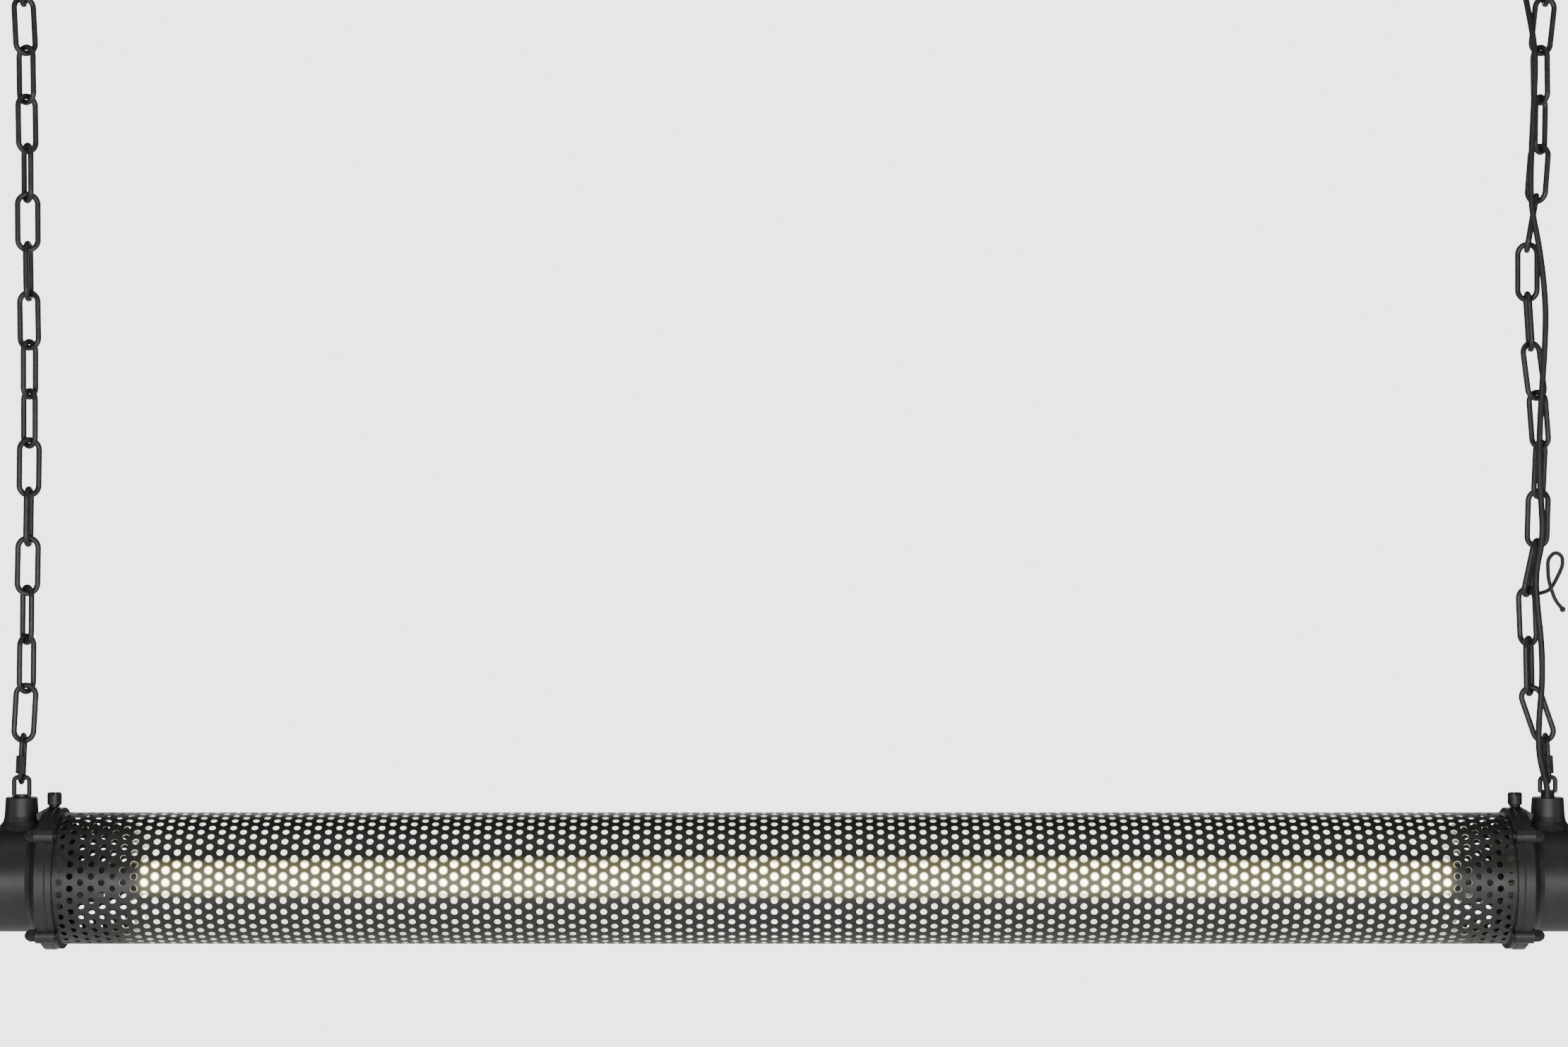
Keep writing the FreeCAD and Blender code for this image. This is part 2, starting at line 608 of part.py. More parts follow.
def canopy(side, x):
    """A spun cup that hides the fixing plate, open towards the ceiling."""
    def cup(r, z_low, z_high, corner):
        pts = [V(0, 0, z_low), V(r - corner, 0, z_low)]
        for k in range(1, 5):
            a = math.radians(22.5 * k)
            pts.append(V(r - corner + corner * math.sin(a), 0, z_low + corner - corner * math.cos(a)))
        pts += [V(r, 0, z_high), V(0, 0, z_high)]
        return turned(pts, Z_DIR)
    shell = cup(CANOPY_R, -CANOPY_H, -CANOPY_RIM, 5.0)
    hollow = cup(CANOPY_R - CANOPY_WALL, -CANOPY_H + CANOPY_WALL, 1.0, 3.8)
    shell = shell.cut([hollow, Part.makeCylinder(HOOK_R + 0.2, 9, V(0, 0, -CANOPY_H - 1))])
    if side == "right":
        shell = shell.cut(Part.makeCylinder(GRIP_HOLE_R, 9, V(GRIP_X, 0, -CANOPY_H - 1)))
    shell.translate(V(x, 0, 0))
    return shell


def ceiling_hook(x):
    """A closed eye on a threaded shank, in the X-Z plane."""
    bar_z = GRIP_END_Z
    centre = V(x, 0, bar_z + HOOK_EYE_R)
    eye = Part.makeTorus(HOOK_EYE_R, HOOK_R, centre, Y_DIR)
    shank = cyl(HOOK_R, centre + V(0, 0, HOOK_EYE_R), V(x, 0, 0))
    return eye.fuse(shank)


def cord_grip():
    """The tapered rubber grip that lets the cable out of the right canopy."""
    top = -CANOPY_H
    outline = [(0, GRIP_END_Z), (GRIP_END_R, GRIP_END_Z), (GRIP_END_R + 0.6, GRIP_END_Z + 6),
               (GRIP_TOP_R - 1.2, top - 5), (GRIP_TOP_R, top - 3), (GRIP_TOP_R, top),
               (GRIP_HOLE_R, top), (GRIP_HOLE_R, top + CANOPY_WALL),
               (GRIP_HOLE_R + 1.6, top + CANOPY_WALL), (GRIP_HOLE_R + 1.6, top + 3.6), (0, top + 3.6)]
    grip = turned([V(r, 0, z) for r, z in outline], Z_DIR)
    grip.translate(V(CHAIN_X + GRIP_X, 0, 0))
    nodes["cord_grip"] = grip


def screw_block(x0, y0, z0):
    """A three-pole terminal block, its screws down into the top, wires in from both long sides."""
    length, width, height = 2 * BLOCK_EDGE + 2 * POLE_PITCH, BLOCK_WIDTH, 12.0
    body = block((x0, x0 + length), (y0, y0 + width), (z0, z0 + height))
    cuts = []
    for k in range(3):
        x = x0 + BLOCK_EDGE + POLE_PITCH * k
        cuts.append(cyl(1.4, V(x, y0 - 1, z0 + 4), V(x, y0 + width + 1, z0 + 4)))
        for y in (y0 + 4, y0 + width - 4):
            cuts.append(cyl(1.9, V(x, y, z0 + 7), V(x, y, z0 + height + 1)))
    return body.cut(cuts)


# ---------------------------------------------------------------- lampholders and wiring

def lampholder():
    """A round two-pin holder on a foot, bored for its rotor, with a chamber for the contacts."""
    end = HOLDER_X + HOLDER_T
    body = cyl(HOLDER_R, V(HOLDER_X, 0, 0), V(end, 0, 0))
    foot = block((HOLDER_X, end), (-12, 12), (HOLDER_FOOT_Z, 0))
    body = body.fuse(foot).removeSplitter()
    seat = cyl(ROTOR_R + RUNNING, V(HOLDER_X, 0, 0), V(HOLDER_X + ROTOR_T + 0.4, 0, 0))
    chamber = cyl(CHAMBER_R, V(HOLDER_X, 0, 0), V(HOLDER_X + 12, 0, 0))
    return body.cut([seat, chamber])


def rotor():
    start = HOLDER_X + 0.2
    disc = cyl(ROTOR_R, V(start, 0, 0), V(start + ROTOR_T, 0, 0))
    half = PIN_R + 0.2
    slot = block((start - 1, start + ROTOR_T + 1), (-ROTOR_R, ROTOR_R), (-half, half))
    hub = cyl(3.4, V(start, 0, 0), V(start + ROTOR_T, 0, 0))
    return disc.cut(slot.cut(hub))


def contact_pair():
    for s in (-1, 1):
        y = sorted((s * 7.75, s * 8.35))
        yield block((HOLDER_X + 4.3, HOLDER_X + 11), y, (-1.8, 1.8))


def holder_bracket():
    """A round sheet plate on the cap's ledge, with a shelf that carries the lampholder."""
    back = LEDGE_X
    plate = cyl(CAP_BORE_R - 0.5, V(back - BRACKET_T, 0, 0), V(back, 0, 0))
    window = block((back - 9, back + 9), (-12, 20), (-14, 22))
    plate = plate.cut([window] + [cyl(2.1, p - V(BRACKET_T, 0, 0), p)
                                  for p in bracket_screw_places()])
    shelf = block((HOLDER_X + 2, back + 44), (-15, 15), (SHELF_Z, SHELF_Z + BRACKET_T))
    tab = block((CHAIN_X - 9, CHAIN_X + 5), (-15, -13.4), (SHELF_Z, CLAMP_Z + CLAMP_SIZE[2]))
    return plate.fuse([shelf, tab]).removeSplitter()


def bracket_screw(place):
    head = cyl(3.4, place - V(BRACKET_T + 2.2, 0, 0), place - V(BRACKET_T, 0, 0))
    shank = cyl(2.0, place - V(BRACKET_T + 2.2, 0, 0), place + V(LEDGE_T, 0, 0))
    return head.fuse(shank).removeSplitter()


def wiring():
    shelf_top = SHELF_Z + BRACKET_T
    block_x, block_y = CHAIN_X, -2.0
    nodes["terminal_block"] = lower(screw_block(block_x, block_y, shelf_top))
    poles = [block_x + BLOCK_EDGE + POLE_PITCH * k for k in range(3)]
    pole_z = shelf_top + 4.0
    near, far = block_y + 2.5, block_y + BLOCK_WIDTH - 2.5

    x = CHAIN_X + BUSH_X
    clamp = block((x - CLAMP_SIZE[0] / 2, x + CLAMP_SIZE[0] / 2), (-13.4, -13.4 + CLAMP_SIZE[1]),
                  (CLAMP_Z, CLAMP_Z + CLAMP_SIZE[2]))
    clamp = clamp.cut(cyl(CABLE_R, V(x, BUSH_Y, CLAMP_Z), V(x, BUSH_Y, BUSH_END)))
    nodes["cord_clamp"] = lower(clamp)

    cores = []
    for k, pole in enumerate(poles):
        start_x = x + 1.6 * (k - 1)
        route = [(start_x, BUSH_Y, CLAMP_Z), (start_x, BUSH_Y, -6.0), (pole, -10.5, pole_z),
                 (pole, near, pole_z)]
        cores.append(tube_along(route, WIRE_CORE_R, "supply core"))
    group("supply_cores", cores)

    back = HOLDER_X + HOLDER_T
    wires = []
    for k, pole in enumerate(poles[:2]):
        route = [(pole, far, pole_z), (pole, 22.5, pole_z), (pole - 14, 22.0 - 2 * k, -9 + 5 * k),
                 (650, 9, -3 + 6 * k), (back + 12, 6, -4 + 8 * k), (back, 6, -4 + 8 * k)]
        wires.append(tube_along(route, WIRE_CORE_R, "lampholder wire"))
    group("lampholder_wires", wires)

    lug_t = 0.8
    lug = cyl(3.3, EARTH_PLACE, EARTH_PLACE + V(lug_t, 0, 0))
    shank_hole = cyl(2.0, EARTH_PLACE, EARTH_PLACE + V(lug_t, 0, 0))
    head = cyl(3.4, EARTH_PLACE + V(lug_t, 0, 0), EARTH_PLACE + V(lug_t + 2.5, 0, 0))
    shank = cyl(2.0, EARTH_PLACE - V(LEDGE_T, 0, 0), EARTH_PLACE + V(lug_t, 0, 0))
    nodes["earth_screw"] = lower(head.fuse(shank).removeSplitter())
    end = EARTH_PLACE + V(WIRE_CORE_R + 0.05, 0, -2.9)
    tongue = block((EARTH_PLACE.x, EARTH_PLACE.x + lug_t), (end.y - 1, end.y + 1),
                   (end.z - 3.4, end.z + 0.6))
    route = [(poles[2], far, pole_z), (poles[2], 22.5, pole_z), (677, 27, 2),
             (664, 22.5, 14), (end.x, end.y, end.z - 2.5)]
    wire = tube_along(route, WIRE_CORE_R, "earth wire")
    nodes["earth_wire"] = lower(wire.fuse([lug, tongue]).cut(shank_hole))


# ---------------------------------------------------------------- LED tube

def tube_cap(side):
    start, glass_end = LIT_END[side], GLASS_END[side]
    cap = cyl(TUBE_CAP_R, V(start, 0, 0), V(TUBE_FACE, 0, 0))
    seat = cyl(TUBE_R, V(start, 0, 0), V(glass_end, 0, 0))
    room = cyl(TUBE_R - 2, V(start, 0, 0), V(TUBE_FACE - TUBE_END_WALL, 0, 0))
    holes = [cyl(PIN_R, V(start, y, 0), V(TUBE_FACE, y, 0)) for y in pin_places()]
    cap = cap.cut([seat, room] + holes)
    return cap if side == "right" else cap.mirror(ORIGIN, X_DIR)


def pin_places():
    return [s * PIN_PITCH / 2 for s in (-1, 1)]


def led_tube():
    glass = ring(TUBE_R, TUBE_R - TUBE_WALL, -GLASS_END["left"], GLASS_END["right"])
    nodes["led_tube_glass"] = lower(glass)
    for side in ("left", "right"):
        nodes[f"{side}_tube_cap"] = lower(tube_cap(side))
    pins = [cyl(PIN_R, V(TUBE_FACE - 5, y, 0), V(TUBE_FACE + PIN_L, y, 0)) for y in pin_places()]
    group("tube_pins", mirrored(pins))
    width, thick = BOARD
    inner_end = TUBE_FACE - TUBE_END_WALL
    board = block((-inner_end, inner_end), (-width / 2, width / 2), (BOARD_Z, BOARD_Z + thick))
    nodes["led_board"] = lower(board)
    count = int((LIT_END["left"] + LIT_END["right"]) / CHIP_PITCH)
    lit_middle = (LIT_END["right"] - LIT_END["left"]) / 2
    chips = []
    for k in range(count):
        x = lit_middle + (k - (count - 1) / 2) * CHIP_PITCH
        chips.append(block((x - CHIP[0] / 2, x + CHIP[0] / 2), (-CHIP[1] / 2, CHIP[1] / 2),
                           (BOARD_Z - CHIP[2], BOARD_Z)))
    group("led_chips", chips)
    driver = block((-inner_end, -572), (-8, 8), (-4, -2.8))
    coil = block((-589, -580), (-7, -1), (-2.8, 2.6))
    can = cyl(2.6, V(-591, 4, 0), V(-579, 4, 0))
    can.translate(V(0, 0, -0.4))
    nodes["led_driver_board"] = lower(driver.fuse([coil, can]).removeSplitter())


# ---------------------------------------------------------------- the whole light

nodes["perforated_sleeve"] = lower(perforated_sleeve())
for end in ("left", "right"):
    nodes[f"{end}_end_cap"] = lower(end_cap(end))
    nodes[f"{end}_lifting_eye"] = lower(lifting_eye(end))
both_ends("clamp_ring", clamp_ring())
both_ends("end_cover", end_cover())
both_ends("thumb_screw", thumb_screw())
both_ends("lampholder", lampholder())
both_ends("rotor", rotor())
both_ends("holder_bracket", holder_bracket())
group("flange_gaskets", mirrored([gasket()]))
group("flange_studs", mirrored([flange_stud(p) for p in ear_places()]))
group("flange_cap_nuts", mirrored([cap_nut(p) for p in ear_places()]))
group("end_cover_screws", mirrored([cover_screw(p, n) for p, n in cover_screw_places()]))
group("bracket_screws", mirrored([bracket_screw(p) for p in bracket_screw_places()]))
group("lampholder_contacts", mirrored(contact_pair()))
for end in ("left", "right"):
    chain(end)
quick_links()
power_cable()
cable_tie()
wiring()
led_tube()
ceiling_fittings()
cord_grip()
nodes["ceiling_terminal_block"] = screw_block(CHAIN_X + 10, -8.0, -CANOPY_H + CANOPY_WALL)

os.makedirs("parts", exist_ok=True)
for name, shape in sorted(nodes.items()):
    if not shape.isValid():
        print(f"{name} isn't a valid shape")
    if shape.ShapeType == "Compound" and len(shape.Solids) == 1:
        shape = shape.Solids[0]
    shape.exportStep(f"parts/{name}.step")
    print(f"{name}: {len(shape.Solids)} solids, {shape.Volume:.0f} mm3")
print(f"{len(nodes)} nodes")
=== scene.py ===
import math

import bmesh
import bpy
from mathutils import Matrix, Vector


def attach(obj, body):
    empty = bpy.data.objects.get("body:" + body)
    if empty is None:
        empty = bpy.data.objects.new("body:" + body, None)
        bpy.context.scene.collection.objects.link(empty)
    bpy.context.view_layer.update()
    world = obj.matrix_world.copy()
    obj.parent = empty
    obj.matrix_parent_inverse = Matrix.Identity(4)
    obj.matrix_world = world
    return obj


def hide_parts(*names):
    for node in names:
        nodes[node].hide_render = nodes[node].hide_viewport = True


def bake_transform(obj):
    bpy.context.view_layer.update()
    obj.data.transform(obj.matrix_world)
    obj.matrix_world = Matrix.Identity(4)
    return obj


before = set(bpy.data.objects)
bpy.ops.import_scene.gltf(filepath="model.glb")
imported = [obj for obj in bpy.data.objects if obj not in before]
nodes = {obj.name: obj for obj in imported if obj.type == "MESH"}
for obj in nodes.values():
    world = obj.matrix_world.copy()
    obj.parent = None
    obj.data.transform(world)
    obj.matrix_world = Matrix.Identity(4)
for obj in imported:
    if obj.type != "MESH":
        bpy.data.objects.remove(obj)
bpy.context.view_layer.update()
scene = bpy.context.scene

# ---------------------------------------------------------------- camera
# The photograph looks level at the light from about three metres, from a little above it, with
# the camera's own axis 31 cm over the middle of the sleeve.
AXIS = Vector((0.0, 0.0, -0.860))
bpy.ops.object.camera_add(location=(-0.0006, -3.190, -0.5488), rotation=(math.radians(90), 0, 0))
camera = bpy.context.object
camera.name = "camera"
camera.data.sensor_width = 36.0
camera.data.lens = 83.4
scene.camera = camera

# ---------------------------------------------------------------- power cable
# A black three-core mains cable with a smooth rubber sheath. It leaves the ceiling in a tapered
# grip, lies loosely in front of the right chain and goes down into the right boss through a bush.


class Value:
    """A number or vector that a finish works out, usable in plain arithmetic."""

    def __init__(self, socket):
        self.socket = socket

    def math(self, operation, *terms):
        tree = self.socket.id_data
        node = tree.nodes.new("ShaderNodeMath")
        node.operation = operation
        for slot, term in zip(node.inputs, terms):
            if isinstance(term, Value):
                tree.links.new(term.socket, slot)
            else:
                slot.default_value = term
        return Value(node.outputs[0])

    def __add__(self, other):
        return self.math("ADD", self, other)

    __radd__ = __add__

    def __sub__(self, other):
        return self.math("SUBTRACT", self, other)

    def __rsub__(self, other):
        return self.math("SUBTRACT", other, self)

    def __mul__(self, other):
        return self.math("MULTIPLY", self, other)

    __rmul__ = __mul__

    def __pow__(self, other):
        return self.math("POWER", self, other)

    def __lt__(self, other):
        return self.math("LESS_THAN", self, other)

    def fade(self, low, high):
        """0 at low, 1 at high, with soft ends."""
        tree = self.socket.id_data
        node = tree.nodes.new("ShaderNodeMapRange")
        node.interpolation_type = "SMOOTHSTEP"
        tree.links.new(self.socket, node.inputs["Value"])
        node.inputs["From Min"].default_value = low
        node.inputs["From Max"].default_value = high
        return Value(node.outputs["Result"])


class Finish:
    """One surface finish: a Principled shader, and the nodes that vary it."""

    def __init__(self, name, **sockets):
        self.material = bpy.data.materials.new(name)
        self.material.use_nodes = True
        self.tree = self.material.node_tree
        self.shader = self.tree.nodes["Principled BSDF"]
        self.set(**sockets)

    def plug(self, socket, value):
        if isinstance(value, Value):
            self.tree.links.new(value.socket, socket)
        else:
            socket.default_value = value

    def set(self, **sockets):
        for name, value in sockets.items():
            self.plug(self.shader.inputs[name.replace("_", " ")], value)

    def node(self, kind, settings=(), out=0, **sockets):
        """Adds a node of this kind; its settings come first, then its sockets."""
        node = self.tree.nodes.new("ShaderNode" + kind)
        for name, value in dict(settings).items():
            setattr(node, name, value)
        for name, value in sockets.items():
            self.plug(node.inputs[name.replace("_", " ")], value)
        return Value(node.outputs[out])

    def place(self):
        return self.node("TexCoord", out="Object")

    def coordinates(self):
        """X, Y and Z of each point of the piece."""
        split = self.tree.nodes.new("ShaderNodeSeparateXYZ")
        self.tree.links.new(self.place().socket, split.inputs[0])
        return [Value(socket) for socket in split.outputs]

    def noise(self, scale, detail=3.0, roughness=0.55, vector=None):
        return self.node("TexNoise", out=0, Vector=vector or self.place(), Scale=scale,
                         Detail=detail, Roughness=roughness)

    def mix(self, factor, first, second):
        """Mixes two colours."""
        node = self.tree.nodes.new("ShaderNodeMix")
        node.data_type = "RGBA"
        for index, value in ((0, factor), (6, first), (7, second)):
            self.plug(node.inputs[index], value)
        return Value(node.outputs[2])

    def bump(self, height, distance, strength=1.0):
        self.set(Normal=self.node("Bump", Height=height, Distance=distance, Strength=strength))


def grey(level, warmth=0.0):
    return (level * (1 + warmth), level, level * (1 - warmth), 1.0)


def wear(finish, *names):
    """Gives these CAD pieces one finish."""
    for name in names:
        slots = nodes[name].material_slots
        for slot in slots:
            slot.material = finish.material
        if not slots:
            nodes[name].data.materials.append(finish.material)


sheath = Finish("cable_sheath", Specular_IOR_Level=0.35)
dust = sheath.noise(90.0, 4.0)
sheath.set(Base_Color=sheath.mix(dust.fade(0.35, 0.8), grey(0.010), grey(0.022)),
           Roughness=0.42 + 0.2 * sheath.noise(35.0))
sheath.bump(sheath.noise(900.0, 2.0), 0.00006, 0.5)

BOSS_X = 0.670
CABLE_R = 0.0027
CABLE_ROUTES = {
    "upper": [(-22.0, 0.0, 810.35), (-22.0, 0.0, 786.0), (-18.0, -9.0, 756.0),
              (-13.5, -15.5, 722.0), (-15.5, -16.5, 678.0), (-18.0, -17.0, 632.0),
              (-18.6, -17.0, 590.0), (-10.5, -17.5, 552.0), (-5.0, -17.0, 504.0),
              (-5.6, -16.0, 466.0), (-7.4, -16.25, 442.0)],
    "lower": [(-7.4, -16.25, 442.0), (-9.2, -16.5, 418.0), (-11.2, -17.0, 374.0),
              (-9.4, -17.0, 332.0), (-7.4, -17.0, 298.0), (-14.5, -17.5, 268.0),
              (-12.5, -17.0, 238.0), (-8.6, -16.5, 206.0), (-8.0, -16.5, 172.0),
              (-10.8, -15.8, 142.0), (-11.2, -15.2, 115.0), (-9.64, -14.68, 106.16)],
    "tail": [(-9.64, -14.68, 106.16), (-8.2, -14.2, 98.0), (-2.2, -9.4, 81.5),
             (-2.2, -9.4, 73.0)],
}

for part, route in CABLE_ROUTES.items():
    curve = bpy.data.curves.new(f"power_cable_{part}_line", "CURVE")
    curve.dimensions = "3D"
    spline = curve.splines.new("NURBS")
    spline.points.add(len(route) - 1)
    for point, (x, y, z) in zip(spline.points, route):
        point.co = (BOSS_X + x / 1000, y / 1000, AXIS.z + z / 1000, 1.0)
    spline.order_u = 3
    spline.use_endpoint_u = True
    spline.resolution_u = 12
    line = bpy.data.objects.new(curve.name, curve)
    scene.collection.objects.link(line)
    bare = bpy.data.meshes.new_from_object(line)
    curve.bevel_depth = CABLE_R
    curve.bevel_resolution = 6
    curve.use_fill_caps = True
    bpy.context.view_layer.update()
    skin = bpy.data.meshes.new_from_object(line)
    bpy.data.objects.remove(line)
    cable = bpy.data.objects.new(f"power_cable_{part}_sheath", skin)
    scene.collection.objects.link(cable)
    skin.materials.clear()
    skin.materials.append(sheath.material)
    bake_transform(cable)
    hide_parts(f"power_cable_{part}")
wear(sheath, "power_cable_inner", "cable_bush")

# ---------------------------------------------------------------- perforated sleeve
# One sheet of 1 mm steel, punched with staggered 5.8 mm holes, rolled, seam-welded and painted
# satin black. Both ends are left plain where they sit in the flanges. The tube's light on the
# inner wall is a painted glow, and the metal round holes that look straight at it has a painted
# halo.
SLEEVE_R = 0.0575
SHEET = 0.0010
HOLES_ROUND = 34
COLUMN_PITCH = 0.009214
MIDDLE_COLUMN_X = 0.0003
HOLE_R = 0.0029
FIRST_HOLE = 0.0265        # turn of an even column's front hole, upwards from the front
SLEEVE_END = 0.645
LIT_FROM, LIT_TO = -0.5650, 0.5844      # the lit stretch of the tube inside
# strength and colours of the painted glow on the inner wall and of the painted halo round the
# holes
PAINTED_GLOW_STRENGTH = 5.0
PAINTED_WALL_GLOW = (0.52, 0.50, 0.43, 1)
PAINTED_HALO_GLOW = (0.80, 0.72, 0.34, 1)


def between(value, start, end):
    """Fades in over the start's (low, high), and out again over the end's."""
    return value.fade(*start) * (1 - value.fade(*end))


satin_black = Finish("sleeve_satin_black", Specular_IOR_Level=0.5)
along, depth, height = satin_black.coordinates()
rise = height - AXIS.z
inside = (depth ** 2.0 + rise ** 2.0) ** 0.5 < SLEEVE_R - 0.3 * SHEET
# the wall's painted glow is dimmer at its top and bottom, which are seen through slanting holes
lit = between(along, (LIT_FROM - 0.020, LIT_FROM + 0.012), (LIT_TO - 0.012, LIT_TO + 0.020))
lit = lit * (1 - 0.6 * rise.math("ABSOLUTE", rise).fade(0.032, 0.056))
# painted glare on the outer metal over the lit stretch, with a painted halo round holes facing
# the viewer
painted_glare_mask = between(along, (LIT_FROM + 0.003, LIT_FROM + 0.012), (LIT_TO - 0.012, LIT_TO - 0.003))
hole_radii = satin_black.node("VectorMath", {"operation": "LENGTH"}, out="Value",
                              Vector=satin_black.node("UVMap", {"uv_map": "from_hole"}))
painted_halo = 1 - hole_radii.fade(1.02, 1.55)
square_on = 1 - satin_black.node("LayerWeight", out=1, Blend=0.5).fade(0.026, 0.062)
painted_glare_spill = (1 - inside) * square_on * painted_glare_mask * (0.035 + 0.9 * painted_halo * painted_halo)
# the emission is painted light: the glow on the inner wall, and the glare and halo outside
satin_black.set(
    Base_Color=satin_black.mix(satin_black.noise(160.0).fade(0.3, 0.8), grey(0.006, 0.14),
                               grey(0.013, 0.16)),
    Roughness=0.36 + 0.16 * satin_black.noise(60.0),
    Emission_Color=satin_black.mix(inside * lit, satin_black.mix(painted_glare_spill, grey(0.0), PAINTED_HALO_GLOW),
                                   PAINTED_WALL_GLOW),
    Emission_Strength=PAINTED_GLOW_STRENGTH)
satin_black.bump(satin_black.noise(1400.0, 2.0), 0.00003, 0.4)

half_round = math.pi * SLEEVE_R / HOLES_ROUND      # half the pitch round the sleeve
half_along = COLUMN_PITCH / 2
# a hole's cell runs out to a rectangle: where each of its 16 corners stands, in half cells
CELL_X = (1, 1, 1, 0.5, 0, -0.5, -1, -1, -1, -1, -1, -0.5, 0, 0.5, 1, 1)
CELL_Y = (0, 0.5, 1, 1, 1, 1, 1, 0.5, 0, -0.5, -1, -1, -1, -1, -1, -0.5)
SAME_PLACE = 0.00005


def punched_column(name, count, first_x, turn):
    """Columns of holes at twice the column pitch, from a flat cell, rolled round the axis."""
    bpy.ops.object.select_all(action="DESELECT")
    bpy.ops.mesh.primitive_circle_add(vertices=len(CELL_X), radius=HOLE_R, calc_uvs=False,
                                      location=(0, 0, 0))
    strip = bpy.context.object
    strip.name = name
    bpy.ops.object.mode_set(mode="EDIT")
    bpy.ops.mesh.select_all(action="SELECT")
    bpy.ops.mesh.extrude_region_move()
    cell = bmesh.from_edit_mesh(strip.data)
    for corner in cell.verts:
        if corner.select:
            turns = math.atan2(corner.co.y, corner.co.x) / math.tau
            step = round(turns * len(CELL_X)) % len(CELL_X)
            corner.co = (CELL_X[step] * half_along, CELL_Y[step] * half_round, 0)
    bmesh.update_edit_mesh(strip.data)
    bpy.ops.object.mode_set(mode="OBJECT")
    from_hole = strip.data.uv_layers.new(name="from_hole")
    for loop in strip.data.loops:
        corner = strip.data.vertices[loop.vertex_index].co
        from_hole.data[loop.index].uv = (corner.x / HOLE_R, corner.y / HOLE_R)
    for copies, offset in ((HOLES_ROUND, (0, 2 * half_round, 0)),
                           (count, (2 * COLUMN_PITCH, 0, 0))):
        repeat = strip.modifiers.new("repeat", "ARRAY")
        repeat.count = copies
        repeat.use_relative_offset = False
        repeat.use_constant_offset = True
        repeat.constant_offset_displace = offset
        bpy.ops.object.modifier_apply(modifier=repeat.name)
    for corner in strip.data.vertices:
        angle = corner.co.y / SLEEVE_R + turn
        corner.co = (corner.co.x + first_x, -SLEEVE_R * math.cos(angle),
                     AXIS.z + SLEEVE_R * math.sin(angle))
    return strip


def sleeve_length(name, columns, plain_end=0):
    """The sheet over a run of hole columns; plain_end -1 or 1 adds the plain margin there."""
    strips = []
    for odd in (0, 1):
        chosen = [c for c in columns if c % 2 == odd]
        turn = FIRST_HOLE + odd * math.pi / HOLES_ROUND
        strips.append(punched_column(f"{name}_{odd}", len(chosen),
                                     MIDDLE_COLUMN_X + chosen[0] * COLUMN_PITCH, turn))
    bpy.ops.object.select_all(action="DESELECT")
    for strip in strips:
        strip.select_set(True)
    bpy.context.view_layer.objects.active = strips[0]
    bpy.ops.object.join()
    length = bpy.context.object
    length.name = name
    bpy.ops.object.mode_set(mode="EDIT")
    bpy.ops.mesh.select_all(action="SELECT")
    bpy.ops.mesh.remove_doubles(threshold=SAME_PLACE)
    bpy.ops.mesh.normals_make_consistent(inside=False)
    if plain_end:
        bpy.ops.mesh.select_all(action="DESELECT")
        column = columns[0] - 0.5 if plain_end < 0 else columns[-1] + 0.5
        last = MIDDLE_COLUMN_X + column * COLUMN_PITCH
        sheet = bmesh.from_edit_mesh(length.data)
        for edge in sheet.edges:
            if all(abs(v.co.x - last) < 2 * SAME_PLACE for v in edge.verts):
                edge.select = True
        bmesh.update_edit_mesh(length.data)
        bpy.ops.mesh.extrude_region_move(
            TRANSFORM_OT_translate={"value": (plain_end * SLEEVE_END - last, 0, 0)})
    bpy.ops.object.mode_set(mode="OBJECT")
    wall = length.modifiers.new("sheet", "SOLIDIFY")
    wall.thickness = SHEET
    wall.offset = -1.0
    bpy.ops.object.modifier_apply(modifier=wall.name)
    bpy.ops.object.shade_smooth_by_angle(angle=math.radians(35))
    length.data.materials.append(satin_black.material)
    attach(length, "light")
    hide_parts("perforated_sleeve")


sleeve_length("perforated_sleeve_left", list(range(-69, -34)), plain_end=-1)
sleeve_length("perforated_sleeve_mid_left", list(range(-34, 0)))
sleeve_length("perforated_sleeve_mid_right", list(range(0, 34)))
sleeve_length("perforated_sleeve_right", list(range(34, 70)), plain_end=1)

# ---------------------------------------------------------------- LED tube
# A 1200 mm tube of frosted glass, lit over its board, in black moulded caps with brass pins. The
# left cap is the longer one, because the driver is in it.
frosted = Finish("frosted_lit_glass", Roughness=0.35, Base_Color=(0.95, 0.93, 0.88, 1))
lit = between(frosted.coordinates()[0], (LIT_FROM - 0.002, LIT_FROM + 0.004),
              (LIT_TO - 0.004, LIT_TO + 0.002))
frosted.set(Emission_Color=frosted.mix(lit, grey(0.0), (1.0, 0.955, 0.83, 1)),
            Emission_Strength=9.0)
wear(frosted, "led_tube_glass")

black_moulding = Finish("black_moulding")
black_moulding.set(Base_Color=black_moulding.mix(black_moulding.noise(90.0), grey(0.008),
                                                 grey(0.02)),
                   Roughness=0.40 + 0.15 * black_moulding.noise(250.0))
wear(black_moulding, "left_tube_cap", "right_tube_cap", "left_lampholder", "right_lampholder",
     "left_rotor", "right_rotor", "cord_clamp")

brass = Finish("brass", Metallic=1.0, Base_Color=(0.80, 0.60, 0.28, 1))
brass.set(Roughness=0.22 + 0.2 * brass.noise(300.0))
wear(brass, "tube_pins", "lampholder_contacts")

solder_mask = Finish("white_solder_mask", Roughness=0.4)
solder_mask.set(Base_Color=solder_mask.mix(solder_mask.noise(60.0), grey(0.75), grey(0.85)))
wear(solder_mask, "led_board")

